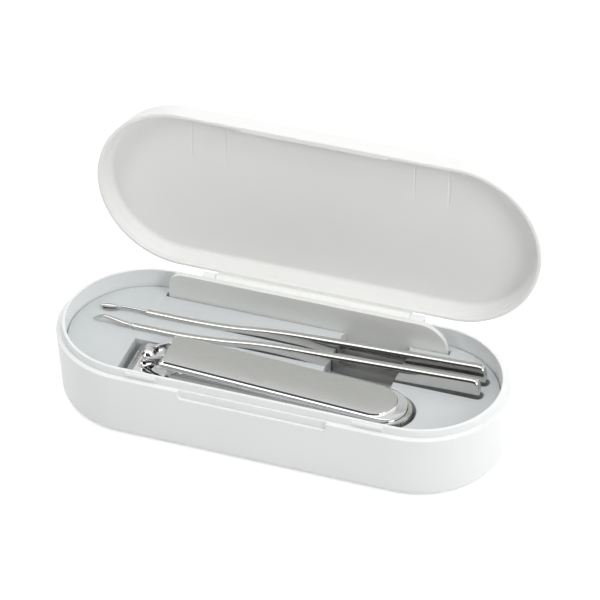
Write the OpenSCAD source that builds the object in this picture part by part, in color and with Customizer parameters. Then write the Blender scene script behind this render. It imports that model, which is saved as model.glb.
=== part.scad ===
// Manicure set in a hinged plastic travel case, shown with its lid open.
// The base stands on z = 0 with its long axis along X, its front towards -Y and its hinge towards +Y.
// The origin is the middle of the base's underside.

/* [Case] */
// Length of the case over its round ends
case_l = 135; // [124:1:160]
// Width of the case, which is also the diameter of its round ends
case_w = 51.8; // [48:0.1:62]
// Height of the ledge that the lid's rim closes on
ledge_z = 22.1; // [20:0.1:26]
// Width of that ledge, outside the lip
ledge_w = 1.6; // [1.2:0.1:2]
// Height of the lip that stands up inside the closed lid
lip_h = 2.4; // [1.6:0.1:3]
// Thickness of the lip at its root
lip_t = 1.15; // [0.8:0.05:1.5]
// Wall thickness of the base at its floor
wall_t = 2.2; // [1.2:0.1:2.4]
// Thickness of the base's floor
floor_t = 1.8; // [1.2:0.1:2.4]
// How far each side of the base tapers in from the ledge to the floor
base_draft = 0.9; // [0.5:0.1:2.5]
// Radius of the rounded edge under the base
foot_r = 3.9; // [2:0.1:5]
// Half length of the thumb scoop in the front wall
scoop_half = 22.1; // [15:0.1:28]
// Height of the thumb scoop below the ledge
scoop_h = 2.6; // [2:0.1:4]
// Depth of the thumb scoop into the front wall
scoop_d = 1; // [0.5:0.1:1.3]

/* [Lid] */
// Depth of the lid from its rim to its top
lid_h = 8.1; // [7.8:0.1:10]
// Thickness of the lid's top
lid_t = 2.3; // [1.2:0.1:2.5]
// How far each side of the lid tapers in from the rim to the top
lid_draft = 1; // [0.4:0.1:1.5]
// Radius of the rounded edge round the lid's top
lid_edge_r = 1.5; // [1:0.1:3]
// Angle that the lid opens to, where its heels stop on the base
lid_open = 93.2; // [85:0.1:100]
// Chamfer inside the lid's rim, left out above the thumb scoop
rim_chamfer = 0.6; // [0.3:0.1:0.9]
// How far to the left the chamfer's gap and the ceiling grooves sit
lid_shift = 0.9; // [0:0.1:1.5]
// Distance of each snap catch from the middle of the case
catch_x = 33.8; // [28:0.1:38]
// Length of each snap catch
catch_l = 9; // [6:0.1:12]
// How far each snap catch stands out of the lip
catch_out = 0.35; // [0.2:0.05:0.4]

/* [Hinge] */
// Distance of the hinge pin behind the ledge's outer edge
hinge_out = 1.8; // [1.6:0.1:2.4]
// Distance of the hinge pin below the ledge
hinge_drop = 0.8; // [0.6:0.1:1.2]
// Half length of the hinge
hinge_half = 34; // [26:0.1:38]
// Length of the base's knuckle at each end of the hinge
knuckle_l = 4; // [3:0.1:8]
// Outer radius of a knuckle
knuckle_r = 1.75; // [1.6:0.05:2]
// Radius of the steel hinge pin
pin_r = 0.8; // [0.6:0.05:0.9]

/* [Tray] */
// Height of the tray's deck above the table
deck_z = 18.6; // [17.8:0.1:19.8]
// Thickness of the deck
deck_t = 1.3; // [1:0.1:1.6]
// Thickness of the pocket walls and floors
pocket_t = 1.1; // [0.8:0.1:1.4]
// Height of the floor of the clipper pocket and the finger notch
pocket_floor = 12; // [11.4:0.1:12.8]
// Left side of the finger notch across the tray
notch_x0 = 12.4; // [8:0.1:16]
// Right side of the finger notch
notch_x1 = 33; // [28:0.1:36]

/* [Nail clipper] */
// Distance of the clipper's centre line in front of the case's middle
clip_y = -10.8; // [-12:0.1:-10.4]
// Place of the clipper's post along the case
post_x = -36.5; // [-38:0.1:-34]
// Length from the post's centre to the cutting edges
nose_l = 6.4; // [5:0.1:8]
// Length from the post's centre to the tail
tail_l = 78.9; // [72:0.1:79]
// Width of the jaws
jaw_w = 14.6; // [12:0.1:15]
// Thickness of each arm
arm_t = 1.6; // [1.2:0.1:1.8]
// Opening between the cutting edges
jaw_gap = 1.7; // [1.2:0.1:2]
// Width of the lever
lever_w = 14.2; // [12.6:0.1:14.4]
// Thickness of the lever
lever_t = 1.9; // [1.4:0.1:2.1]
// Distance that the lever's round end stays short of the tail
lever_short = 1.4; // [1:0.1:6]
// Wall thickness of the clippings catcher
catcher_t = 0.8; // [0.6:0.1:1]

/* [Slim tools] */
// Centre line of the front handle
front_y = 3.9; // [3.6:0.1:4.4]
// Centre line of the rear handle
rear_y = 10; // [9.6:0.1:10.4]
// Radius of the round rod
rod_r = 0.8; // [0.65:0.05:1]
// Thickness of the flat handle
handle_t = 2.1; // [1.8:0.1:2.2]
// Height of the flat handle at its end
handle_h = 8.6; // [7:0.1:8.6]
// Right end of both handles
handle_x1 = 58.2; // [54:0.1:59]
// Sideways offset of the front tool's rod from its handle
front_crank = 2.2; // [1.5:0.1:4.6]
// Sideways offset of the rear tool's rod from its handle
rear_crank = 1.1; // [0.5:0.1:4]
// Length of the ear pick's spoon
spoon_l = 5.8; // [4:0.1:6.4]
// Width of the ear pick's spoon
spoon_w = 2.1; // [1.8:0.1:3]
// Length of the ear pick's neck and spoon outside its rod
ear_tip_l = 13.9; // [11:0.1:15]
// Length of the cuticle pick's tip outside its rod
hook_l = 12.4; // [10:0.1:13]
// Height that the cuticle pick's tip rises above its rod
hook_h = 1.3; // [0.8:0.1:1.8]
// Height that its end comes down again
hook_drop = 1.5; // [0.6:0.05:1.6]

/* [Nail file] */
// Left end of the file
file_x0 = -41.6; // [-44:0.1:-38]
// Right end of the file
file_x1 = 43.8; // [38:0.1:44]
// Front face of the file
file_y = 18.9; // [18.5:0.1:19.1]
// Thickness of the file
file_t = 1.5; // [1:0.1:1.5]
// Height of the file's plate
file_h = 14.2; // [12:0.1:14.4]
// Distance of the file's top edge below the closed lid's ceiling
file_clear = 0.7; // [0.3:0.1:1.5]

/* [Hidden] */

// Case
end_r = case_w / 2;
run = case_l / 2 - end_r;
rim_z = ledge_z + lip_h;
lip_r = end_r - ledge_w;
lip_draft = 0.2;
edge_r = 0.25;
inner_r = lip_r - lip_t;
floor_r = end_r - base_draft - wall_t;
inner_fillet = 2;
close_gap = 0.1;
side_gap = 0.1;
round_n = 8;

// Lid, in its closed place
lid_z0 = ledge_z + close_gap;
lid_top = lid_z0 + lid_h;
lid_wall = ledge_w - side_gap;
lid_in_r = end_r - lid_wall;
lid_fillet = 1.2;
ceiling_z = lid_top - lid_t;
catch_z = ledge_z + lip_h / 2;
catch_r = 0.9;
groove_extra = 0.15;
mark_in = 2.6;
mark_l = 12.4;
mark_w = 1.1;
mark_d = 0.25;
mark_half = catch_l / 2 + 0.65;

// Hinge
hinge_y = end_r + hinge_out;
hinge_z = ledge_z - hinge_drop;
knuckle_gap = 0.14;
relief_half = hinge_half - knuckle_l;
barrel_half = relief_half - knuckle_gap;
lid_run = 0.06;
base_run = 0.02;
heel_reach = hinge_out + base_draft * (hinge_drop + 1.4) / (ledge_z - foot_r) - 0.16;
heel_w = 1.5;
relief_r = knuckle_r + 0.4;

// Tray
deck_r = inner_r - (rim_z - deck_z) * (inner_r - floor_r) / (rim_z - floor_t) - 0.3;
rib_t = 1.2;
rib_out = 1.8;
catcher_w = lever_w + 0.2;
pocket_gap = 0.8;
pocket_half = max(jaw_w, catcher_w) / 2 + pocket_gap;
pocket_x0 = post_x - nose_l - 1;
pocket_x1 = post_x + tail_l + 1.1;
file_gap = 0.2;
narrow_half = handle_t / 2 + 0.25;
wide_half = 1.95;
slot_x0 = -20.5;
slot_x1 = handle_x1 + 1;

// Clipper heights are measured from the floor of its pocket
arm_z0 = 0.6;
arm_open_z = 5.1;
pin_z = 8.1;
head_z = 9.45;
head_r = 2.25;
head_top = 0.62;
post_r = 1.5;
lever_tilt = 2.67;
lever_gap = 5.5;
lever_end = tail_l - lever_short;
lever_top = 12.75;
catcher_gap = 0.3;
grip_r = 0.22;
arm_w = catcher_w - 2 * (catcher_t + catcher_gap);
arm_end = tail_l - catcher_t - catcher_gap;
rivet_r = 1;
ear_in = 2.5;
ear_t = 1.1;
ear_r = 1.2;
cross_r = 0.6;

// Slim tools
tool_z = deck_z + rod_r;
slot_floor = tool_z - handle_h / 2 - 0.1;
widest_x = handle_x1 - 3;
taper_x0 = -18;
stub_r = 0.4;
stub_l = 3;
neck_r = 0.4;
ear_bend = 1.5;
spoon_u0 = ear_tip_l - spoon_l;
tip_sides = 14;
front_joint = -46.3;
rear_joint = -44.8;
blank_n = 44;
blank_sides = 16;

// Nail file
file_top = ceiling_z - file_clear;
file_floor = file_top - file_h - 0.1;

// One step of a smooth curve from 0 to 1
function smooth(t) = let (u = min(1, max(0, t))) u * u * (3 - 2 * u);

// Points of an arc about c, from angle a0 to a1
function arc(c, r, a0, a1, n = round_n) =
    [for (i = [0:n]) let (a = a0 + (a1 - a0) * i / n) c + r * [cos(a), sin(a)]];

// Takes a half profile, with x as the distance from the case's spine, round the case's outline
module race() {
    for (side = [-1, 1])
        translate([side * run, 0, 0]) rotate([0, 0, -90 * side])
            rotate_extrude(angle = 180, $fn = 96) children();
    translate([-run, 0, 0]) rotate([90, 0, 90]) linear_extrude(2 * run) {
        children();
        mirror([1, 0]) children();
    }
}

// Stadium outline of a given end radius
module stadium(r) {
    square([2 * run, 2 * r], center = true);
    for (side = [-1, 1]) translate([side * run, 0]) circle(r, $fn = 96);
}

// Rectangle from corner a to corner b with round corners
module rounded(a, b, r) {
    translate(a + [r, 0]) square(b - a - [2 * r, 0]);
    translate(a + [0, r]) square(b - a - [0, 2 * r]);
    for (x = [a.x + r, b.x - r], y = [a.y + r, b.y - r]) translate([x, y]) circle(r, $fn = 32);
}

// Bar along X between two places, from an outline in Y and Z
module along_x(x0, x1) {
    translate([x0, 0, 0]) rotate([90, 0, 90]) linear_extrude(x1 - x0) children();
}

// Plate across Y between two places, from an outline in X and Z
module across_y(y0, y1) {
    translate([0, y1, 0]) rotate([90, 0, 0]) linear_extrude(y1 - y0) children();
}

module base_outer() {
    polygon(concat([[0, 0]],
        arc([end_r - base_draft - foot_r, foot_r], foot_r, -90, 0),
        arc([end_r - edge_r, ledge_z - edge_r], edge_r, 0, 90, 3), [[lip_r, ledge_z]],
        arc([lip_r - lip_draft - edge_r, rim_z - edge_r], edge_r, 0, 90, 3), [[0, rim_z]]));
}

module base_inner() {
    polygon(concat([[0, floor_t]],
        arc([floor_r - inner_fillet, floor_t + inner_fillet], inner_fillet, -90, 0, 5),
        arc([inner_r + edge_r, rim_z - edge_r], edge_r, 180, 90, 3),
        [[inner_r + edge_r, rim_z + 1], [0, rim_z + 1]]));
}

module thumb_scoop() {
    across_y(-end_r - 1, -end_r + scoop_d) {
        rounded([-scoop_half, ledge_z - scoop_h], [scoop_half, ledge_z + 0.5], 0.9 * scoop_h / 2);
        translate([-scoop_half, ledge_z - scoop_h / 2]) square([2 * scoop_half, scoop_h]);
    }
}

// A rib under the deck's edge, at angle a on a round end
module end_rib(side, a) {
    translate([side * run, 0, 0]) rotate([0, 0, side > 0 ? a : 180 - a])
        translate([floor_r - rib_out, -rib_t / 2, floor_t - 0.5])
            cube([rib_out + 0.8, rib_t, deck_z - deck_t - floor_t + 0.5]);
}

module front_rib(x) {
    translate([x - rib_t / 2, -floor_r - 0.8, floor_t - 0.5])
        cube([rib_t, rib_out + 0.4, deck_z - deck_t - floor_t + 0.5]);
}

// The base's knuckle at one end of the hinge
module base_knuckle(side) {
    middle = side * (relief_half + knuckle_l / 2);
    along_x(middle - knuckle_l / 2, middle + knuckle_l / 2) {
        translate([hinge_y, hinge_z]) circle(knuckle_r, $fn = 48);
        polygon([[end_r - 1.2, hinge_z], [hinge_y, hinge_z], [hinge_y, hinge_z - knuckle_r],
                 [end_r - 1.2, hinge_z - knuckle_r - 2.8]]);
    }
}

// The lid's barrel, with the heel that stops the open lid on the base
module lid_barrel() {
    along_x(-barrel_half, barrel_half) {
        translate([hinge_y, hinge_z]) circle(knuckle_r, $fn = 48);
        translate([hinge_y, hinge_z - heel_reach]) square([heel_w, heel_reach]);
        polygon([[end_r - lid_wall / 2, lid_z0], [hinge_y, lid_z0], [hinge_y + 0.9, hinge_z + 1.5],
                 [end_r - lid_wall / 2, lid_z0 + 3.4]]);
    }
}

// Cylinder about the hinge's axis
module hinge_round(half, r) {
    translate([-half, hinge_y, hinge_z]) rotate([0, 90, 0]) cylinder(r = r, h = 2 * half, $fn = 48);
}

// Snap bead along X at the front of the lip, or its groove in the lid when grown
module snap_bead(side, grow) {
    translate([side * catch_x - catch_l / 2 - grow, -lip_r - catch_out + catch_r - grow, catch_z])
        rotate([0, 90, 0]) cylinder(r = catch_r, h = catch_l + 2 * grow, $fn = 32);
}

module base_shell() color([0.92, 0.93, 0.93]) {
    difference() {
        union() {
            difference() {
                race() base_outer();
                race() base_inner();
                thumb_scoop();
                hinge_round(relief_half, relief_r);
            }
            for (side = [-1, 1], a = [-52, 0, 52]) end_rib(side, a);
            for (x = [-20, 20]) front_rib(x);
            for (side = [-1, 1]) base_knuckle(side);
            for (side = [-1, 1]) snap_bead(side, 0);
        }
        hinge_round(hinge_half + 1, pin_r + base_run);
    }
}

module lid_outer() {
    polygon(concat([[0, lid_z0]], arc([end_r - edge_r, lid_z0 + edge_r], edge_r, -90, 0, 3),
        arc([end_r - lid_draft - lid_edge_r, lid_top - lid_edge_r], lid_edge_r, 0, 90), [[0, lid_top]]));
}

module lid_inner() {
    polygon(concat(
        [[0, lid_z0 - 1], [lid_in_r, lid_z0 - 1], [lid_in_r, lid_z0], [lid_in_r - lip_draft, rim_z + 0.2]],
        arc([lid_in_r - 0.6 - lid_fillet, ceiling_z - lid_fillet], lid_fillet, 0, 90, 5), [[0, ceiling_z]]));
}

module lid_rim_chamfer() {
    difference() {
        race() polygon([[lid_in_r - 0.05, lid_z0 - 0.1], [lid_in_r + rim_chamfer, lid_z0 - 0.1],
                        [lid_in_r + rim_chamfer, lid_z0], [lid_in_r - 0.05, lid_z0 + rim_chamfer + 0.05]]);
        translate([-scoop_half - lid_shift, -end_r - 1, lid_z0 - 1]) cube([2 * scoop_half, end_r, 3]);
    }
}

// Two shallow grooves across the ceiling, beside each snap groove
module ceiling_mark(side) {
    for (end = [-mark_half, mark_half])
        translate([side * catch_x - lid_shift + end, -lid_in_r + mark_in, ceiling_z]) rotate([-90, 0, 0])
            linear_extrude(mark_l) polygon([[-mark_w / 2, 0.1], [mark_w / 2, 0.1], [0, -mark_d]]);
}

module lid_closed() {
    difference() {
        union() {
            difference() {
                race() lid_outer();
                race() lid_inner();
                lid_rim_chamfer();
                for (side = [-1, 1]) {
                    ceiling_mark(side);
                    snap_bead(side, groove_extra);
                }
            }
            lid_barrel();
        }
        hinge_round(hinge_half, pin_r + lid_run);
    }
}

module lid_shell() color([0.94, 0.94, 0.94]) {
    translate([0, hinge_y, hinge_z]) rotate([-lid_open, 0, 0])
        translate([0, -hinge_y, -hinge_z]) lid_closed();
}

module hinge_pin() color([0.75, 0.76, 0.78]) hinge_round(hinge_half - 0.5, pin_r);

// Outline of the clipper pocket: square at the jaws, round at the tail
module clipper_pocket(grow) {
    r = pocket_half + grow;
    translate([pocket_x0 - grow, clip_y - r]) square([pocket_x1 - pocket_half - pocket_x0 + grow, 2 * r]);
    translate([pocket_x1 - pocket_half, clip_y]) circle(r, $fn = 64);
}

module finger_notch(grow) {
    rounded([notch_x0 - grow, clip_y - grow], [notch_x1 + grow, file_y + grow], 1.8 + grow);
}

module handle_slot(y, grow) {
    translate([slot_x0 - grow, y - narrow_half - grow])
        square([notch_x0 - slot_x0 + 2 * grow, 2 * (narrow_half + grow)]);
    translate([notch_x1 - 1 - grow, y - wide_half - grow])
        square([slot_x1 - wide_half - notch_x1 + 1 + grow, 2 * (wide_half + grow)]);
    translate([slot_x1 - wide_half, y]) circle(wide_half + grow, $fn = 32);
}

module file_slot(grow) {
    translate([file_x0 - 1 - grow, file_y - file_gap - grow])
        square([file_x1 - file_x0 + 1.7 + 2 * grow, file_t + 2 * (file_gap + grow)]);
}

// A pocket's walls and floor below the deck
module pocket_box(floor_z) {
    translate([0, 0, floor_z - pocket_t]) linear_extrude(deck_z - deck_t / 2 - floor_z + pocket_t) children();
}

module pocket_cut(floor_z) {
    translate([0, 0, floor_z]) linear_extrude(deck_z - floor_z + 1) children();
}

module tray_insert() color([0.8, 0.82, 0.84]) {
    difference() {
        union() {
            translate([0, 0, deck_z - deck_t]) linear_extrude(deck_t) stadium(deck_r);
            pocket_box(pocket_floor) clipper_pocket(pocket_t);
            pocket_box(pocket_floor) finger_notch(pocket_t);
            for (y = [front_y, rear_y]) pocket_box(slot_floor) handle_slot(y, pocket_t);
            pocket_box(file_floor) file_slot(pocket_t);
        }
        pocket_cut(pocket_floor) clipper_pocket(0);
        pocket_cut(pocket_floor) finger_notch(0);
        for (y = [front_y, rear_y]) pocket_cut(slot_floor) handle_slot(y, 0);
        pocket_cut(file_floor) file_slot(0);
    }
}

// Puts a clipper piece on its pocket's floor
module clipper_place() {
    translate([post_x, clip_y, pocket_floor]) children();
}

// Outline of an arm from above: jaws at the left, round tail at the right
module arm_plan() {
    square_x = -nose_l;
    difference() {
        union() {
            translate([square_x, -jaw_w / 2]) square([nose_l + 3, jaw_w]);
            translate([0, -arm_w / 2]) square([arm_end - arm_w / 2, arm_w]);
            translate([arm_end - arm_w / 2, 0]) circle(arm_w / 2, $fn = 64);
        }
        translate([-nose_l - 18.6, 0]) circle(20, $fn = 96);
    }
}

// Straight line of the upper arm's underside, rising from the tail to the post
function arm_rise(x) = arm_z0 + arm_t + (arm_open_z - arm_z0 - arm_t) * (tail_l - x) / tail_l;

module arm_holes(post_hole, rivet_hole) {
    translate([0, 0, -1]) cylinder(r = post_hole, h = 20, $fn = 48);
    for (x = [tail_l - 8, tail_l - 14]) translate([x, 0, -1]) cylinder(r = rivet_hole, h = 20, $fn = 32);
}

module clipper_lower_arm() color([0.72, 0.73, 0.74]) clipper_place() {
    edge_z = arm_open_z - jaw_gap - 0.4;
    difference() {
        intersection() {
            across_y(-jaw_w / 2, jaw_w / 2)
                polygon([[tail_l, arm_z0], [tail_l, arm_z0 + arm_t], [-2.4, arm_z0 + arm_t],
                         [-4.2, arm_z0 + arm_t + 0.35], [-nose_l + 0.8, edge_z - 0.1], [-nose_l, edge_z],
                         [-nose_l, edge_z - 0.35], [-nose_l + 0.7, arm_z0 + 0.6], [-nose_l + 1.6, arm_z0]]);
            linear_extrude(20) arm_plan();
        }
        arm_holes(post_r, rivet_r);
    }
}

module clipper_upper_arm() color([0.74, 0.75, 0.76]) clipper_place() {
    edge_z = arm_open_z - 0.4;
    difference() {
        intersection() {
            across_y(-jaw_w / 2, jaw_w / 2)
                polygon(concat([[tail_l, arm_rise(tail_l)], [tail_l, arm_rise(tail_l) + arm_t]],
                    arc([-2.2, arm_open_z + arm_t - 3.3], 3.4, 87, 150),
                    [[-nose_l, edge_z + 0.35], [-nose_l, edge_z], [-nose_l + 0.9, edge_z + 0.1],
                     [-3.6, arm_open_z - 0.25], [-2.4, arm_rise(-2.4)]]));
            linear_extrude(20) arm_plan();
        }
        arm_holes(post_r + 0.4, rivet_r + 0.08);
    }
}

module clipper_tail_rivets() color([0.66, 0.67, 0.69]) clipper_place() {
    for (x = [tail_l - 8, tail_l - 14]) translate([x, 0, 0]) {
        translate([0, 0, 0.1]) cylinder(r = rivet_r, h = arm_rise(x) + arm_t + 0.1, $fn = 32);
        translate([0, 0, 0.1]) cylinder(r1 = rivet_r + 0.4, r2 = rivet_r + 0.8, h = arm_z0 - 0.1, $fn = 32);
        translate([0, 0, arm_rise(x) + arm_t + 0.08])
            cylinder(r1 = rivet_r + 0.8, r2 = rivet_r + 0.3, h = 0.5, $fn = 32);
    }
}

module clipper_post() color([0.85, 0.86, 0.88]) clipper_place() {
    difference() {
        union() {
            translate([0, 0, 0.05]) cylinder(r = post_r + 0.9, h = arm_z0 - 0.05, $fn = 48);
            translate([0, 0, 0.05]) cylinder(r = post_r, h = head_z, $fn = 48);
            translate([0, 0, head_z]) difference() {
                sphere(head_r, $fn = 48);
                translate([-head_r, -head_r, 0.2]) cube(2 * head_r);
            }
            translate([0, 0, head_z]) cylinder(r1 = post_r + 0.2, r2 = post_r, h = head_top, $fn = 48);
        }
        translate([0, -5, pin_z]) rotate([-90, 0, 0]) cylinder(r = cross_r, h = 10, $fn = 32);
    }
}

module clipper_lever_pin() color([0.7, 0.71, 0.73]) clipper_place() {
    translate([0, -ear_in - ear_t, pin_z]) rotate([-90, 0, 0])
        cylinder(r = cross_r, h = 2 * (ear_in + ear_t), $fn = 32);
}

// Height of the lever's top face at a distance from the post
function lever_z(x) = lever_top - (x - lever_gap) * tan(lever_tilt);

module lever_plan() {
    r = lever_w / 2;
    translate([lever_gap, -r]) square([lever_end - lever_gap - r, lever_w]);
    translate([lever_end - r, 0]) circle(r, $fn = 64);
}

module clipper_lever() color([0.68, 0.69, 0.68]) clipper_place() {
    difference() {
        union() {
            intersection() {
                across_y(-lever_w / 2, lever_w / 2)
                    polygon([[lever_gap, lever_z(lever_gap) - lever_t], [lever_gap, lever_z(lever_gap)],
                             [lever_end, lever_z(lever_end)], [lever_end, lever_z(lever_end) - lever_t]]);
                linear_extrude(20) lever_plan();
            }
            for (side = [-1, 1])
                across_y(side > 0 ? ear_in : -ear_in - ear_t, side > 0 ? ear_in + ear_t : -ear_in) {
                    translate([0, pin_z]) circle(ear_r, $fn = 48);
                    polygon([[0, pin_z - ear_r], [lever_gap + 1, lever_z(lever_gap) - lever_t],
                             [lever_gap + 1, lever_z(lever_gap) - 0.3], [lever_gap, lever_z(lever_gap) - 0.3],
                             [0, pin_z + ear_r]]);
                }
        }
        translate([0, -10, pin_z]) rotate([-90, 0, 0]) cylinder(r = cross_r + 0.05, h = 20, $fn = 32);
    }
}

module catcher_outline(r) {
    tail = tail_l - catcher_w / 2;
    translate([8, -r]) square([tail - 8, 2 * r]);
    translate([tail, 0]) circle(r, $fn = 64);
}

module clipper_catcher() color([0.7, 0.71, 0.71]) clipper_place() {
    top0 = lever_z(8) - lever_t - 0.5;
    top1 = lever_z(tail_l) - lever_t - 0.5;
    difference() {
        intersection() {
            linear_extrude(20) catcher_outline(catcher_w / 2);
            across_y(-catcher_w, catcher_w)
                polygon(concat([[tail_l + 1, 0.05], [tail_l + 1, top1]],
                    arc([13, top0 - 5], 5, 90, 180), [[8, 0.05]]));
        }
        difference() {
            translate([0, 0, -1]) linear_extrude(30) catcher_outline(catcher_w / 2 - catcher_t);
            for (x = [14, 54]) translate([x, -catcher_w / 2, 0.05]) cube([5, catcher_w, 0.45]);
        }
        translate([7, catcher_t - catcher_w / 2, -1]) cube([2, catcher_w - 2 * catcher_t, 30]);
        for (a = [-80:8:80])
            translate([tail_l - catcher_w / 2, 0, -1]) rotate([0, 0, a]) translate([catcher_w / 2, 0, 0])
                cylinder(r = grip_r, h = 20, $fn = 16);
    }
}

// Half height of a slim tool at x: a round rod that widens into a flat handle
function blank_b(x) = rod_r + min(1, max(0, (x - taper_x0) / (widest_x - taper_x0))) * (handle_h / 2 - rod_r);

// Half thickness of a slim tool at x
function blank_a(x) = rod_r + (handle_t / 2 - rod_r) * smooth((x - taper_x0) / 30);

// Rounding of the handle's end
function blank_end(x) = let (e = 3, u = max(0, x - (handle_x1 - e)) / e) sqrt(max(0.02, 1 - u * u));

// Sideways place of a slim tool's centre line at x
function blank_y(x, y, crank) = y - crank * smooth((-6 - x) / 30);

// Places of the rings along a blank that starts at x0, closer together at the rounded end
function blank_x(i, x0) = let (t = i / blank_n) x0 + (handle_x1 - x0) * (1 - pow(1 - t, 1.35));

function blank_ring(x, y, crank) =
    [for (j = [0:blank_sides - 1]) let (a = 360 * j / blank_sides, b = blank_b(x) - blank_a(x))
        [x, blank_y(x, y, crank) + blank_a(x) * cos(a) * (blank_end(x) < 0.9 ? 0.9 : 1),
         tool_z + (blank_a(x) * sin(a) + (sin(a) > 0.01 ? 1 : sin(a) < -0.01 ? -1 : 0) * b) * blank_end(x)]];

// Closed skin over rings of equal size
module skin(rings) {
    n = len(rings[0]);
    m = len(rings);
    polyhedron(points = [for (r = rings) each r],
        faces = concat(
            [[for (j = [0:n - 1]) j]],
            [for (i = [0:m - 2], j = [0:n - 1]) each [
                [i * n + j, (i + 1) * n + j, (i + 1) * n + (j + 1) % n],
                [i * n + j, (i + 1) * n + (j + 1) % n, i * n + (j + 1) % n]]],
            [[for (j = [n - 1:-1:0]) (m - 1) * n + j]]));
}

// A tool's rod and handle, with a bore in its left end for the tip's stub
module blank(x0, y, crank) {
    difference() {
        skin([for (i = [0:blank_n]) blank_ring(blank_x(i, x0), y, crank)]);
        translate([x0 - 1, y - crank, tool_z]) rotate([0, 90, 0])
            cylinder(r = stub_r, h = stub_l + 1, $fn = 32);
    }
}

// The part of a tip that is pressed into its rod
module tip_stub(x0, y) {
    translate([x0 - 0.5, y, tool_z]) rotate([0, 90, 0]) cylinder(r = stub_r, h = stub_l + 0.4, $fn = 32);
}

module ear_pick_handle() color([0.8, 0.8, 0.81]) blank(rear_joint, rear_y, rear_crank);

module cuticle_pick_handle() color([0.8, 0.8, 0.81]) blank(front_joint, front_y, front_crank);

// Radius of the ear pick's neck at distance u from its rod
function neck(u) = neck_r + (rod_r - 0.06 - neck_r) * (1 - smooth(u / 6));

// Radius of the cuticle pick's tip at distance u from its rod
function hook_r(u) = 0.2 + (rod_r - 0.26) * (1 - u / hook_l);

// Rise of the cuticle pick's tip above its rod at distance u
function hook_rise(u) =
    hook_h * smooth((u - 1.4) / 7.8) - hook_drop * pow(max(0, (u - hook_l + 3.6) / 3.6), 1.2);

// Bulge of the spoon at distance u from the rod, from 0 at its ends to 1 in its middle
function bulge(u) = let (v = (u - spoon_u0) / (spoon_l / 2) - 1) sqrt(max(0, 1 - v * v));

// Distance of ring t of the ear pick's tip from the rod
function ear_u(t) = t < 7 ? t * spoon_u0 / 7 : spoon_u0 + spoon_l / 2 * (1 - cos(20 + 156 * (t - 7) / 11));

// Ring of the ear pick's tip, where k is the spoon's bulge at that place
function ear_ring(u, k) =
    let (y = rear_y - rear_crank - ear_bend * pow(u / ear_tip_l, 2),
         w = max(u > spoon_u0 + spoon_l / 2 ? 0.15 : neck(u), spoon_w / 2 * k),
         top = neck(u) * (1 - k) - 0.35 * k,
         bottom = neck(u) * (1 - k) + 0.7 * k)
    [for (j = [0:tip_sides - 1]) let (a = 360 * j / tip_sides)
        [rear_joint - u, y + w * cos(a),
         tool_z + 0.1 * smooth(u / 6) + sin(a) * (sin(a) > 0 ? top : bottom)]];

// Neck and oval spoon, hollow on top
module ear_pick_tip() color([0.75, 0.76, 0.77]) {
    skin([for (t = [18:-1:0]) let (u = ear_u(t)) ear_ring(u, u > spoon_u0 ? bulge(u) : 0)]);
    tip_stub(rear_joint, rear_y - rear_crank);
}

// Tip of the cuticle pick, which tapers as it rises and then bends down
module cuticle_pick_tip() color([0.75, 0.76, 0.77]) {
    y = front_y - front_crank;
    rings = [for (t = [0:20]) let (u = hook_l * t / 20, r = hook_r(u))
        [for (j = [0:tip_sides - 1]) let (a = 360 * j / tip_sides)
            [front_joint - u, y + r * cos(a), tool_z + hook_rise(u) + r * sin(a)]]];
    skin([for (i = [len(rings) - 1:-1:0]) rings[i]]);
    tip_stub(front_joint, y);
}

module nail_file() color([0.66, 0.68, 0.68]) {
    z0 = file_top - file_h;
    across_y(file_y, file_y + file_t)
        polygon(concat(
            arc([file_x1 - 8.5, file_top - 8.5], 8.5, 0, 90, 12),
            arc([file_x0 + 4.5, file_top - 4.5], 4.5, 90, 180),
            arc([file_x0 + 2, z0 + 2], 2, 180, 270, 5),
            arc([file_x1 - 2, z0 + 2], 2, 270, 360, 5)));
}

base_shell();
lid_shell();
hinge_pin();
tray_insert();
clipper_lower_arm();
clipper_upper_arm();
clipper_tail_rivets();
clipper_post();
clipper_lever_pin();
clipper_lever();
clipper_catcher();
ear_pick_handle();
ear_pick_tip();
cuticle_pick_handle();
cuticle_pick_tip();
nail_file();
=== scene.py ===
import bmesh
import bpy
import math
from mathutils import Matrix, Vector


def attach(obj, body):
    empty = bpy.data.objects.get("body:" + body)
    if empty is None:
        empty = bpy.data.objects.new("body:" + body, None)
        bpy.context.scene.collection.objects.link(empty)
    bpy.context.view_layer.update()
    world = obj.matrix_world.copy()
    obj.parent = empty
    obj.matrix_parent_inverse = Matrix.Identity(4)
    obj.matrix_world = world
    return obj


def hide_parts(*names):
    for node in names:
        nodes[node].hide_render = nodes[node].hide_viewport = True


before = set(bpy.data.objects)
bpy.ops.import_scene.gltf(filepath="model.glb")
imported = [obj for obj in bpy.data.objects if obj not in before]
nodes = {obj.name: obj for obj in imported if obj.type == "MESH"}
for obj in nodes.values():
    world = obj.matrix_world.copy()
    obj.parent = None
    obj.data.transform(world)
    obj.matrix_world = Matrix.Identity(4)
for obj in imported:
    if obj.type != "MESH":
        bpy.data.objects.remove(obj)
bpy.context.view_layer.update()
scene = bpy.context.scene
MM = 0.001


# ---- camera: solved from the photograph, for a 600 by 600 image ----
IMAGE = 600
FOCAL_PX = 3399.73
SENSOR = 36.0
CAM_AT = Vector((0.257882, -0.712194, 0.630355))
CAM_RIGHT = Vector((0.94476, 0.32767, -0.00813))
CAM_UP = Vector((-0.1951, 0.5821, 0.78936))


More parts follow.
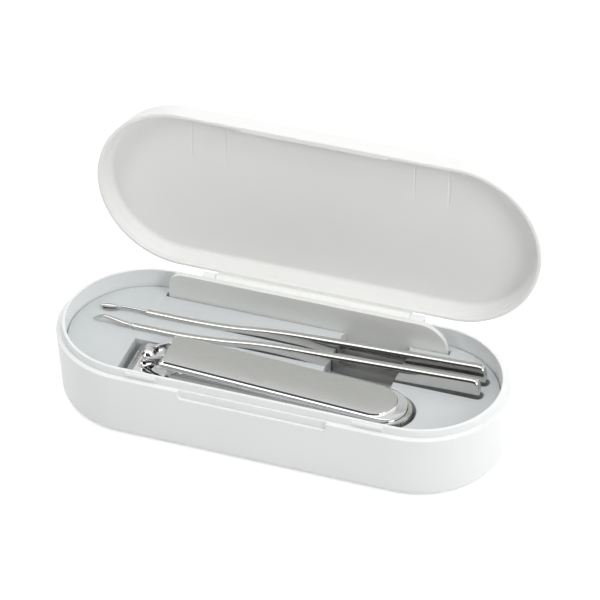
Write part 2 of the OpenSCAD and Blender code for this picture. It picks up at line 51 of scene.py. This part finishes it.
def make_camera():
    """The camera at CAM_AT, its two measured axes made square to each other."""
    right = CAM_RIGHT.normalized()
    back = right.cross(CAM_UP).normalized()
    up = back.cross(right).normalized()
    data = bpy.data.cameras.new("camera")
    data.sensor_width = SENSOR
    data.lens = FOCAL_PX / IMAGE * SENSOR
    data.clip_start = 0.01
    camera = bpy.data.objects.new("camera", data)
    camera.matrix_world = Matrix((
        (right.x, up.x, back.x, CAM_AT.x),
        (right.y, up.y, back.y, CAM_AT.y),
        (right.z, up.z, back.z, CAM_AT.z),
        (0, 0, 0, 1)))
    scene.collection.objects.link(camera)
    scene.camera = camera


make_camera()


# ---- materials ----
class Finish:
    """A Principled material whose colour, roughness and bump come from noise in the object's own metres."""

    def __init__(self, name, colour, rough, metal=0.0, specular=0.5):
        self.material = bpy.data.materials.new(name)
        self.material.use_nodes = True
        self.tree = self.material.node_tree
        self.shader = self.tree.nodes["Principled BSDF"]
        self.shader.inputs["Base Color"].default_value = (*colour, 1)
        self.shader.inputs["Roughness"].default_value = rough
        self.shader.inputs["Metallic"].default_value = metal
        self.shader.inputs["Specular IOR Level"].default_value = specular
        self.place = self.node("ShaderNodeTexCoord").outputs["Object"]
        self.normal = None

    def node(self, kind, **values):
        """A new node of the material, with its properties set."""
        n = self.tree.nodes.new(kind)
        for key, value in values.items():
            setattr(n, key, value)
        return n

    def link(self, a, b):
        self.tree.links.new(a, b)

    def noise(self, size, detail=2.0, stretch=(1, 1, 1)):
        """Noise whose features are about size metres across, longer along the stretched axes."""
        mapping = self.node("ShaderNodeMapping")
        self.link(self.place, mapping.inputs["Vector"])
        mapping.inputs["Scale"].default_value = [1 / (size * s) for s in stretch]
        tex = self.node("ShaderNodeTexNoise")
        tex.inputs["Scale"].default_value = 1.0
        tex.inputs["Detail"].default_value = detail
        self.link(mapping.outputs[0], tex.inputs["Vector"])
        return tex.outputs["Fac"]

    def spread(self, value, low, high):
        """Takes noise's middle range to low and high."""
        ramp = self.node("ShaderNodeMapRange")
        ramp.inputs["From Min"].default_value = 0.3
        ramp.inputs["From Max"].default_value = 0.7
        ramp.inputs["To Min"].default_value = low
        ramp.inputs["To Max"].default_value = high
        self.link(value, ramp.inputs["Value"])
        return ramp.outputs["Result"]

    def colours(self, value, dark, light):
        """Lets value choose a colour between dark and light."""
        mix = self.node("ShaderNodeMix", data_type="RGBA")
        self.link(self.spread(value, 0.0, 1.0), mix.inputs["Factor"])
        mix.inputs[6].default_value = (*dark, 1)
        mix.inputs[7].default_value = (*light, 1)
        self.link(mix.outputs[2], self.shader.inputs["Base Color"])
        return self

    def roughness(self, value, low, high):
        """Lets value choose a roughness between low and high."""
        self.link(self.spread(value, low, high), self.shader.inputs["Roughness"])
        return self

    def bump(self, value, height, strength=1.0):
        """Adds relief of value, height metres deep, to any relief set before."""
        n = self.node("ShaderNodeBump")
        n.inputs["Strength"].default_value = strength
        n.inputs["Distance"].default_value = height
        self.link(value, n.inputs["Height"])
        if self.normal is not None:
            self.link(self.normal, n.inputs["Normal"])
        self.normal = n.outputs["Normal"]
        self.link(self.normal, self.shader.inputs["Normal"])
        return self


def white_plastic(name, dark, light):
    """Moulded plastic with a fine even grain."""
    f = Finish(name, light, 0.42)
    f.colours(f.noise(30 * MM, 2), dark, light)
    f.roughness(f.noise(1.2 * MM, 3), 0.40, 0.50)
    f.bump(f.noise(0.35 * MM, 2), 0.006 * MM, 0.6)
    return f.material


def grey_plastic():
    """The tray's smoother plastic."""
    f = Finish("grey_plastic", (0.57, 0.595, 0.603), 0.36)
    f.colours(f.noise(24 * MM, 2), (0.558, 0.583, 0.593), (0.578, 0.602, 0.612))
    f.roughness(f.noise(1.0 * MM, 3), 0.32, 0.42)
    f.bump(f.noise(0.3 * MM, 2), 0.005 * MM, 0.6)
    return f.material


def polished(name, dark, light):
    """Plated steel with faint waves and smears."""
    f = Finish(name, light, 0.05, metal=1.0)
    f.colours(f.noise(6 * MM, 3), dark, light)
    f.roughness(f.noise(2.5 * MM, 4), 0.035, 0.085)
    f.bump(f.noise(3 * MM, 2), 0.004 * MM, 0.5)
    return f.material


def satin_steel():
    """Steel brushed lengthways."""
    f = Finish("satin_steel", (0.65, 0.655, 0.64), 0.3, metal=1.0)
    brushed = f.noise(0.09 * MM, 3, stretch=(60, 1, 1))
    f.colours(f.noise(0.2 * MM, 3, stretch=(40, 1, 1)), (0.625, 0.632, 0.615), (0.675, 0.68, 0.665))
    f.roughness(brushed, 0.27, 0.37)
    f.bump(brushed, 0.004 * MM, 0.5)
    return f.material


def file_steel():
    """The nail file's pale grit."""
    f = Finish("file_steel", (0.82, 0.825, 0.805), 0.5, metal=0.3)
    grit = f.noise(0.16 * MM, 2)
    f.colours(grit, (0.80, 0.805, 0.78), (0.85, 0.855, 0.835))
    f.roughness(grit, 0.45, 0.57)
    f.bump(grit, 0.02 * MM, 0.5)
    return f.material


def pin_steel():
    """Plain turned steel, for pins and rivets."""
    f = Finish("pin_steel", (0.6, 0.61, 0.62), 0.25, metal=1.0)
    turned = f.noise(0.12 * MM, 2, stretch=(1, 12, 12))
    f.colours(turned, (0.57, 0.58, 0.59), (0.63, 0.64, 0.65))
    f.roughness(turned, 0.2, 0.32)
    f.bump(turned, 0.003 * MM, 0.5)
    return f.material


WHITE = white_plastic("white_plastic", (0.815, 0.83, 0.83), (0.838, 0.85, 0.848))
# The lid's copy of the white plastic is paler and warmer than the base's: painted warm light over the whole lid.
LID_WHITE_PAINTED_LIGHT = white_plastic("white_plastic_lid_painted_light", (0.855, 0.86, 0.84), (0.875, 0.88, 0.862))
GREY = grey_plastic()
CHROME = polished("chrome", (0.60, 0.595, 0.58), (0.635, 0.63, 0.617))
BRIGHT = polished("bright_nickel", (0.8, 0.8, 0.8), (0.84, 0.84, 0.845))
SATIN = satin_steel()
FILE = file_steel()
PIN = pin_steel()

CAD_FINISH = {
    "base_shell": WHITE, "lid_shell": LID_WHITE_PAINTED_LIGHT, "tray_insert": GREY, "hinge_pin": PIN,
    "clipper_lower_arm": BRIGHT, "clipper_upper_arm": BRIGHT, "clipper_tail_rivets": PIN,
    "clipper_post": CHROME, "clipper_lever_pin": PIN, "clipper_lever": SATIN, "clipper_catcher": CHROME,
    "ear_pick_handle": CHROME, "ear_pick_tip": CHROME, "cuticle_pick_handle": CHROME,
    "cuticle_pick_tip": CHROME, "nail_file": FILE}
for name, finish in CAD_FINISH.items():
    nodes[name].data.materials.clear()
    nodes[name].data.materials.append(finish)


# ---- pieces ----
def add_piece(name, mesh, body, node, finishes):
    """A piece that rides on a body, in place of a CAD node."""
    piece = bpy.data.objects.new(name, mesh)
    scene.collection.objects.link(piece)
    for finish in finishes:
        mesh.materials.append(finish)
    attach(piece, body)
    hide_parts(node)
    return piece


def shade_smooth(mesh, angle):
    """Smooth faces, with sharp edges where two faces meet at more than angle degrees."""
    bm = bmesh.new()
    bm.from_mesh(mesh)
    for face in bm.faces:
        face.smooth = True
    for edge in bm.edges:
        edge.smooth = len(edge.link_faces) == 2 and edge.calc_face_angle(0) < math.radians(angle)
    bm.to_mesh(mesh)
    bm.free()


def softened(node, body, finishes, width):
    """A copy of a CAD node with its sharp edges rounded off."""
    mesh = nodes[node].data.copy()
    mesh.materials.clear()
    bm = bmesh.new()
    bm.from_mesh(mesh)
    bmesh.ops.remove_doubles(bm, verts=bm.verts, dist=0.002 * MM)
    bmesh.ops.dissolve_limit(bm, angle_limit=math.radians(0.5), verts=bm.verts, edges=bm.edges)
    for face in bm.faces:
        face.smooth = True
    bm.to_mesh(mesh)
    bm.free()
    piece = add_piece(node + "_detail", mesh, body, node, finishes)
    bevel = piece.modifiers.new("edges", "BEVEL")
    bevel.width = width
    bevel.segments = 3
    bevel.limit_method = "ANGLE"
    bevel.angle_limit = math.radians(30)
    bevel.use_clamp_overlap = True
    bevel.miter_outer = "MITER_ARC"
    graph = bpy.context.evaluated_depsgraph_get()
    rounded = bpy.data.meshes.new_from_object(piece.evaluated_get(graph))
    piece.modifiers.clear()
    piece.data = rounded
    shade_smooth(rounded, 40)


def smooth(t):
    """Eases from 0 to 1 while t goes from 0 to 1, and stays there outside."""
    t = min(1.0, max(0.0, t))
    return t * t * (3 - 2 * t)


def curve(x, points):
    """Smooth value at x between the (x, value) points."""
    for (x0, v0), (x1, v1) in zip(points, points[1:]):
        if x <= x1:
            return v0 + (v1 - v0) * smooth((x - x0) / (x1 - x0))
    return points[-1][1]


class Skin:
    """Builds one mesh, in millimetres, from closed skins over rings of points."""

    def __init__(self):
        self.verts = []
        self.faces = []

    def add(self, rings):
        """Skins rings that all have the same number of points, and closes both ends."""
        start = len(self.verts)
        n = len(rings[0])
        self.verts += [(x * MM, y * MM, z * MM) for ring in rings for x, y, z in ring]
        for i in range(len(rings) - 1):
            for j in range(n):
                a, b = start + i * n + j, start + i * n + (j + 1) % n
                self.faces.append((a, b, b + n, a + n))
        self.faces.append(tuple(start + j for j in reversed(range(n))))
        self.faces.append(tuple(start + (len(rings) - 1) * n + j for j in range(n)))

    def mesh(self, name, angle):
        """The finished mesh, sharp where faces meet at more than angle degrees."""
        mesh = bpy.data.meshes.new(name)
        mesh.from_pydata(self.verts, [], self.faces)
        bm = bmesh.new()
        bm.from_mesh(mesh)
        bmesh.ops.recalc_face_normals(bm, faces=bm.faces)
        bm.to_mesh(mesh)
        bm.free()
        shade_smooth(mesh, angle)
        return mesh


def rounded_box(a, b, r, n=6):
    """Outline of a rectangle with half sizes a and b and corners of radius r, starting at the right."""
    out = []
    for quarter in range(4):
        cx = (a - r) * (1 if quarter in (0, 3) else -1)
        cy = (b - r) * (1 if quarter in (0, 1) else -1)
        for i in range(n + 1):
            t = math.radians(90 * quarter + 90 * i / n)
            out.append((cx + r * math.cos(t), cy + r * math.sin(t)))
    return out


# The slim tools: rods with a flat handle, and their pressed-in tips
DECK = 18.6
TOOL_Z = 19.4
HANDLE_X1 = 58.2


def tool_section(a, half, bends):
    """Section of a slim tool, half sizes a and half: its front top edge turns down in three bends of given radii."""
    turns = ((0, 40, bends[0]), (40, 72, bends[1]), (72, 90, bends[2]))
    path = [(0.0, 0.0)]
    for t0, t1, r in turns:
        y, z = path[-1]
        for i in range(1, 5):
            t = math.radians(t0 + (t1 - t0) * i / 4)
            start = math.radians(t0)
            path.append((y + r * (math.sin(t) - math.sin(start)), z + r * (math.cos(start) - math.cos(t))))
    fit = min(1.0, a * 1.3 / path[-1][0], half * 1.3 / path[-1][1])
    out = []
    for cy, cz, t0, r in ((a, half, 0, 0.3), (-a, -half, 180, 0.2), (a, -half, 270, 0.2)):
        r = min(r, a * 0.45, half * 0.45)
        if t0 == 180:
            out += [(-a + fit * (path[-1][0] - y), half - fit * z) for y, z in path]
        for i in range(5):
            t = math.radians(t0 + 90 * i / 4)
            out.append((math.copysign(abs(cy) - r, cy) + r * math.cos(t),
                        math.copysign(abs(cz) - r, cz) + r * math.sin(t)))
    return out


def slim_handle(name, body, node, x0, y0, crank, rise):
    """A rod that widens into a flat handle with an arched top edge and a face that leans a little at its middle."""
    end_x = HANDLE_X1 - 3
    places = [x0, x0 + 0.125]
    places += [x0 + 0.25 + (end_x - x0 - 0.25) * i / 60 for i in range(61)]
    places += [end_x + 3 * math.sin(math.radians(90 * i / 16)) for i in range(1, 17)]
    rings = []
    for x in places:
        widen = min(1.0, max(0.0, (x + 18) / 73.2))
        flat = smooth((x + 18) / 30)
        a = 0.82 + (1.05 - 0.82) * flat
        b = 0.68 + widen * (4.3 - 0.68)
        arch = rise * smooth((x + 26) / 28) * (1 - 0.25 * smooth((x - 15) / 45))
        u = max(0.0, x - end_x) / 3
        top = (b + arch) * max(0.1, (1 - u ** 3.2) ** 0.32 if u < 1 else 0)
        bottom = b * max(0.1, math.sqrt(max(0.0, 1 - u * u)))
        a -= 0.35 * smooth((u - 0.8) / 0.2)
        if x < x0 + 0.2:
            a, top, bottom = a - 0.15, top - 0.15, bottom - 0.15
        half = (top + bottom) / 2
        bends = [rod + (handle - rod) * flat for rod, handle in ((1.1, 1.05), (0.35, 1.25), (0.2, 0.3))]
        y = y0 - crank * smooth((-6 - x) / 30)
        z = DECK + 0.68 + (TOOL_Z - DECK - 0.68) * flat + (top - bottom) / 2
        lean = 0.6 * smooth((x - 2) / 12) * (1 - smooth((x - 28) / 30))
        rings.append([(x, y + p - (lean * (half - q) / (2 * half) if p < 0 else 0), z + q)
                      for p, q in tool_section(a, half, bends)])
    skin = Skin()
    skin.add(rings)
    return add_piece(name, skin.mesh(name, 50), body, node, [CHROME])


def ear_tip():
    """A round neck that flattens into an oval spoon, hollow on top, with sides that flare below the rim."""
    x0, y0, length, spoon = -44.8, 8.9, 13.9, 5.8
    u0 = length - spoon
    across = 12
    rings = []
    stops = [-0.6, 0.0] + [u0 * i / 12 for i in range(1, 12)]
    stops += [u0 + spoon / 2 * (1 - math.cos(math.radians(8 + 168 * i / 24))) for i in range(25)]
    for u in stops:
        k = 0.0
        if u > u0:
            v = (u - u0) / (spoon / 2) - 1
            k = math.sqrt(max(0.0, 1 - v * v))
        neck = curve(u, [(-1, 0.46), (0, 0.46), (6, 0.4), (9, 0.38), (14, 0.1)])
        w = max(neck if u < u0 + spoon / 2 else 0.12, 0.88 * k)
        high = neck * (1 - k) - 0.42 * k
        y = y0 - 1.5 * (max(0.0, u) / length) ** 2
        z = TOOL_Z + 0.05 + 0.3 * smooth(u / 9)
        ring = []
        for i in range(across + 1):
            t = math.radians(180 * i / across)
            ring.append((x0 - u, y + w * math.cos(t), z + high * math.sin(t)))
        for i in range(1, across):
            t = math.radians(180 + 180 * i / across)
            side = -1 if i < 6 else 1
            out, down = ((0.2, 0.26), (0.38, 0.52), (0.34, 0.68), (0.05, 0.78), (-0.4, 0.8), (-0.86, 0.8))[
                min(i, across - i) - 1]
            ring.append((x0 - u, y + (1 - k) * w * math.cos(t) + k * side * (w + out * min(1.0, 1.5 * k)),
                         z + (1 - k) * neck * math.sin(t) - k * down))
        rings.append(ring)
    skin = Skin()
    skin.add(rings)
    add_piece("ear_pick_tip_detail", skin.mesh("ear_pick_tip_detail", 50), "ear_pick", "ear_pick_tip",
              [CHROME])


def cuticle_tip():
    """A tapering tip, with a waist next to the rod, that rises and then bends down."""
    x0, y0, length = -46.3, 1.7, 12.4
    rings = []
    for i in range(41):
        u = -0.6 + (length + 0.6) * i / 40
        radius = curve(u, [(-1, 0.6), (0.3, 0.6), (1, 0.42), (1.8, 0.66), (3, 0.62), (length, 0.36)])
        if u > length - 0.4:
            radius *= math.sqrt(max(0.04, 1 - ((u - length + 0.4) / 0.4) ** 2))
        rise = 1.3 * smooth((u - 1.4) / 7.8) - 1.5 * max(0.0, (u - length + 3.6) / 3.6) ** 1.2
        bends = [1.25 * radius, 0.6 * radius, 0.2 * radius]
        rings.append([(x0 - u, y0 + p, TOOL_Z + rise + q) for p, q in tool_section(radius, radius, bends)])
    skin = Skin()
    skin.add(rings)
    add_piece("cuticle_pick_tip_detail", skin.mesh("cuticle_pick_tip_detail", 60), "cuticle_pick",
              "cuticle_pick_tip", [CHROME])


slim_handle("ear_pick_detail", "ear_pick", "ear_pick_handle", -44.8, 10.0, 1.1, 1.0)
slim_handle("cuticle_pick_detail", "cuticle_pick", "cuticle_pick_handle", -46.3, 3.9, 2.2, 0.62)
ear_tip()
cuticle_tip()


# The nail clipper's lever and post
POST = (-36.5, -10.8)
PIVOT_Z = 20.1
LEVER_X0 = -31.0
LEVER_X1 = 41.0
LEVER_W = 14.2
LEVER_Z = 24.75
LEVER_TILT = math.tan(math.radians(2.67))
ARM_Z = 12
ARM_TAIL = 71.7


def lever_outline(inset, n=20):
    """The lever from above, drawn in by inset, and by more than that at its round tail."""
    half = LEVER_W / 2 - inset
    x0, cx = LEVER_X0 + min(inset, 0.98), LEVER_X1 - LEVER_W / 2 - 2.35 * smooth((inset - 0.1) / 0.45)
    corner = 0.9
    out = []
    for i in range(2 * n + 1):
        t = math.radians(-90 + 180 * i / (2 * n))
        out.append((cx + half * math.cos(t), half * math.sin(t)))
    for k, side in enumerate((1, -1)):
        for i in range(5):
            t = math.radians(90 + 90 * k + 90 * i / 4)
            out.append((x0 + corner + corner * math.cos(t), side * (half - corner) + corner * math.sin(t)))
    return out


def plate(skin, outline, y0, y1, edge=0.15):
    """An upright plate from an outline in x and z, with its edges broken."""
    cx = sum(p[0] for p in outline) / len(outline)
    cz = sum(p[1] for p in outline) / len(outline)

    def drawn_in(d):
        out = []
        for x, z in outline:
            far = math.hypot(x - cx, z - cz)
            out.append((x - (x - cx) * d / far, z - (z - cz) * d / far))
        return out

    rings = []
    for y, d in ((y0, edge), (y0 + edge * 0.4, edge * 0.3), (y0 + edge, 0), (y1 - edge, 0),
                 (y1 - edge * 0.4, edge * 0.3), (y1, edge)):
        rings.append([(x, y, z) for x, z in drawn_in(d)])
    skin.add(rings)


def lever():
    """A slightly arched satin face, a polished chamfer and bead round it, and two ears without a hole for the pin."""
    steps = [(0.3, -2.3), (0.08, -2.26), (0.0, -2.1), (0.0, -0.88), (0.05, -0.76), (0.16, -0.68), (0.38, -0.58),
             (0.5, -0.5), (0.6, -0.38), (0.76, -0.1), (0.82, -0.02), (0.98, 0.0), (1.6, 0.075), (2.2, 0.13),
             (3.0, 0.18), (4.0, 0.213), (5.0, 0.228), (6.2, 0.232)]
    edge = len(lever_outline(0))
    satin_from, satin_to = steps.index((0.98, 0.0)) * edge, (len(steps) - 1) * edge
    skin = Skin()
    rings = []
    for inset, drop in steps:
        rings.append([(x, POST[1] + y, LEVER_Z - (x - LEVER_X0) * LEVER_TILT + drop)
                      for x, y in lever_outline(inset)])
    skin.add(rings)
    for y0, y1 in ((2.5, 3.6), (-3.6, -2.5)):
        outline = []
        for i in range(13):
            t = math.radians(90 + 180 * i / 12)
            outline.append((POST[0] + 1.2 * math.cos(t), PIVOT_Z + 1.2 * math.sin(t)))
        outline += [(LEVER_X0 + 1.0, 22.85), (LEVER_X0 + 1.0, 24.35), (LEVER_X0, 24.35)]
        plate(skin, outline, POST[1] + y0, POST[1] + y1)
    mesh = skin.mesh("lever_detail", 38)
    add_piece("lever_detail", mesh, "clipper_lever", "clipper_lever", [SATIN, BRIGHT])
    for i, face in enumerate(mesh.polygons):
        face.material_index = 0 if satin_from <= i < satin_to or i == satin_to + 1 else 1


def post():
    """The post turned from one bar: a button on a round rim, over the neck."""
    outline = [(3 * math.sin(math.radians(a)), 19.75 + 3 * math.cos(math.radians(a))) for a in range(1, 32, 5)]
    cap_rings = len(outline)
    outline += [(1.6, 22.26), (2.1, 21.42), (2.16, 21.38), (2.3, 21.34), (2.38, 21.22), (2.36, 21.05), (2.25, 20.9),
                (2.0, 20.7), (1.75, 20.5), (1.55, 20.35), (1.5, 20.1), (1.5, 12.7), (2.35, 12.65), (2.4, 12.6),
                (2.4, 12.1), (2.35, 12.05), (0.02, 12.05)]
    around = 48
    skin = Skin()
    rings = [[(POST[0] + r * math.cos(math.tau * j / around), POST[1] + r * math.sin(math.tau * j / around), z)
              for j in range(around)] for r, z in outline]
    skin.add(rings)
    mesh = skin.mesh("post_detail", 35)
    add_piece("post_detail", mesh, "clipper", "clipper_post", [CHROME, BRIGHT])
    first_end = len(mesh.polygons) - 2
    for i, face in enumerate(mesh.polygons):
        face.material_index = 1 if i < cap_rings * around or i == first_end else 0


def drilled(piece, holes):
    """Cuts upright round holes, given as (x, radius) along the clipper's middle, through a piece."""
    skin = Skin()
    turns = [math.radians(10 * j) for j in range(36)]
    for x, r in holes:
        skin.add([[(POST[0] + x + r * math.cos(t), POST[1] + r * math.sin(t), z) for t in turns] for z in (10, 30)])
    drill = bpy.data.objects.new("drill", skin.mesh("drill", 40))
    scene.collection.objects.link(drill)
    cut = piece.modifiers.new("holes", "BOOLEAN")
    cut.operation = "DIFFERENCE"
    cut.solver = "EXACT"
    cut.object = drill
    graph = bpy.context.evaluated_depsgraph_get()
    result = bpy.data.meshes.new_from_object(piece.evaluated_get(graph))
    piece.modifiers.clear()
    piece.data = result
    bpy.data.objects.remove(drill)
    shade_smooth(result, 40)


def arm(name, body, node, nose, low, high, holes):
    """A clipper arm: a straight cutting edge across the nose, wide jaws, and a long blade with a round tail."""
    blade = 6.1
    stops = list(nose)
    stops += [(2.8, low(2.8), high(2.8), 7.3), (3.1, low(3.1), high(3.1), blade)]
    stops += [(x, low(x), high(x), blade) for x in (20, 40, 60, ARM_TAIL)]
    for i in range(1, 13):
        t = math.radians(7.4 * i)
        x = ARM_TAIL + blade * math.sin(t)
        stops.append((x, low(x), high(x), blade * math.cos(t)))
    rings = []
    for x, z0, z1, w in stops:
        half = (z1 - z0) / 2
        outline = rounded_box(w, half, min(0.22, half * 0.8, w * 0.8), 4)
        rings.append([(POST[0] + x, POST[1] + p, ARM_Z + (z0 + z1) / 2 + q) for p, q in outline])
    skin = Skin()
    skin.add(rings)
    drilled(add_piece(name, skin.mesh(name, 40), body, node, [BRIGHT]), holes)


def arms():
    """The two arms, each with its own nose, given as (x, bottom, top, half width) from the tip."""
    def rise(x):
        return 2.2 + 2.9 * (78.9 - x) / 78.9

    arm("upper_arm_detail", "clipper_jaw", "clipper_upper_arm",
        [(-5.45, 4.82, 5.0, 7.1), (-5.35, 4.8, 5.1, 7.24), (-4.9, 4.83, 5.16, 7.3), (-4.55, 4.85, 5.3, 7.3),
         (-3.95, 4.88, 5.95, 7.3), (-3.45, 4.95, 6.42, 7.3), (-3.0, 5.05, 6.64, 7.3), (-2.2, rise(-2.2), 6.74, 7.3)],
        rise, lambda x: rise(x) + 1.6, [(0, 1.9), (64.9, 1.08), (70.9, 1.08)])
    arm("lower_arm_detail", "clipper", "clipper_lower_arm",
        [(-6.1, 2.55, 2.8, 7.1), (-6.0, 2.2, 2.9, 7.24), (-5.4, 1.0, 2.84, 7.3), (-4.8, 0.64, 2.7, 7.3),
         (-4.2, 0.6, 2.55, 7.3), (-2.4, 0.6, 2.2, 7.3)],
        lambda x: 0.6, lambda x: 2.2, [(0, 1.52), (64.9, 1.02), (70.9, 1.02)])


def catcher_tail():
    """The catcher's round tail, raised behind the lever's round end, with a fluted grip below a plain lip."""
    cx, lever_cx = POST[0] + ARM_TAIL, LEVER_X1 - LEVER_W / 2
    rings = []
    for z, inset, flute in ((18.0, 0.0, 0.2), (19.25, 0.0, 0.2), (19.35, 0.0, 0.0), (19.6, 0.0, 0.0),
                            (19.72, 0.06, 0.0), (19.78, 0.2, 0.0)):
        ring = []
        for i in range(49):
            t, r = math.radians(3 * i - 72), 7.2 - inset - flute * (i % 2)
            ring.append((cx + r * math.cos(t), POST[1] + r * math.sin(t), z))
        for i in range(23):
            t, r = math.radians(66 - 6 * i), 7.18 + 0.5 * inset
            ring.append((lever_cx + r * math.cos(t), POST[1] + r * math.sin(t), z))
        rings.append(ring)
    skin = Skin()
    skin.add(rings)
    add_piece("catcher_tail", skin.mesh("catcher_tail", 40), "clipper", "clipper_catcher", [CHROME])


lever()
post()
arms()
catcher_tail()

softened("tray_insert", "case_base", [GREY], 0.35 * MM)
softened("clipper_catcher", "clipper", [CHROME], 0.18 * MM)
softened("nail_file", "file", [FILE], 0.15 * MM)


# ---- floor, world and lamps ----
def make_floor():
    """A pale floor that shows white to the camera, mirrors and glass, and keeps the object's shadow."""
    size = 3.0
    mesh = bpy.data.meshes.new("floor")
    mesh.from_pydata([(-size, -size, 0), (size, -size, 0), (size, size, 0), (-size, size, 0)], [], [(0, 1, 2, 3)])
    floor = bpy.data.objects.new("floor", mesh)
    scene.collection.objects.link(floor)
    f = Finish("floor", (0.85, 0.85, 0.85), 0.9, specular=0.0)
    f.colours(f.noise(400 * MM, 2), (0.845, 0.845, 0.845), (0.855, 0.855, 0.855))
    path = f.node("ShaderNodeLightPath")
    seen = path.outputs["Is Camera Ray"]
    for ray in ("Is Glossy Ray", "Is Transmission Ray"):
        either = f.node("ShaderNodeMath", operation="MAXIMUM")
        f.link(seen, either.inputs[0])
        f.link(path.outputs[ray], either.inputs[1])
        seen = either.outputs[0]
    level = f.node("ShaderNodeMath", operation="MULTIPLY")
    level.inputs[1].default_value = 0.5
    f.link(seen, level.inputs[0])
    glow = f.node("ShaderNodeEmission")
    f.link(level.outputs[0], glow.inputs["Strength"])
    both = f.node("ShaderNodeAddShader")
    f.link(f.shader.outputs[0], both.inputs[0])
    f.link(glow.outputs[0], both.inputs[1])
    f.link(both.outputs[0], f.tree.nodes["Material Output"].inputs["Surface"])
    mesh.materials.append(f.material)


def make_world():
    """A pale studio, brighter low down and to the right, with a dark opening in front, where the camera stands."""
    world = bpy.data.worlds.new("studio")
    world.use_nodes = True
    scene.world = world
    tree = world.node_tree
    background = tree.nodes["Background"]
    direction = tree.nodes.new("ShaderNodeTexCoord").outputs["Generated"]
    split = tree.nodes.new("ShaderNodeSeparateXYZ")
    tree.links.new(direction, split.inputs[0])

    def ramp(value, x0, x1, y0, y1):
        n = tree.nodes.new("ShaderNodeMapRange")
        n.interpolation_type = "SMOOTHSTEP"
        for key, v in (("From Min", x0), ("From Max", x1), ("To Min", y0), ("To Max", y1)):
            n.inputs[key].default_value = v
        tree.links.new(value, n.inputs["Value"])
        return n.outputs["Result"]

    def maths(operation, a, b):
        n = tree.nodes.new("ShaderNodeMath")
        n.operation = operation
        for socket, v in zip(n.inputs, (a, b)):
            if isinstance(v, (int, float)):
                socket.default_value = v
            else:
                tree.links.new(v, socket)
        return n.outputs[0]

    x, y, z = split.outputs
    level = ramp(z, 0.1, 0.6, 0.95, 0.8)
    right_side = ramp(x, 0.2, 0.8, 0.0, 0.2)
    front = ramp(y, -0.22, -0.42, 0.0, 1.0)
    low = ramp(z, 0.88, 0.78, 0.0, 1.0)
    opening = maths("MULTIPLY", front, low)
    left_side = maths("MULTIPLY", ramp(x, -0.35, -0.75, 0.0, 0.7), ramp(z, 0.6, 0.4, 0.0, 1.0))
    bright = maths("SUBTRACT", maths("ADD", level, right_side), left_side)
    shade = maths("SUBTRACT", 1.0, maths("MULTIPLY", opening, 0.9))
    tree.links.new(maths("MULTIPLY", bright, shade), background.inputs["Strength"])
    background.inputs["Color"].default_value = (1, 1, 1, 1)


def lamp(name, at, to, size, power):
    """A soft rectangular lamp at a place, turned to another."""
    data = bpy.data.lights.new(name, "AREA")
    data.shape = "RECTANGLE"
    data.size, data.size_y = size
    data.energy = power
    light = bpy.data.objects.new(name, data)
    light.location = at
    light.rotation_euler = (Vector(to) - Vector(at)).to_track_quat("-Z", "Y").to_euler()
    scene.collection.objects.link(light)


make_floor()
make_world()
lamp("overhead", (0.0, -0.15, 1.1), (0, 0, 0.02), (1.3, 0.8), 4.5)
lamp("front_left", (-0.95, -0.8, 0.9), (0, 0, 0.02), (0.5, 0.5), 3.8)
lamp("front_right", (1.0, -0.6, 0.7), (0, 0, 0.02), (0.5, 0.5), 5.6)

scene.view_settings.view_transform = "Standard"
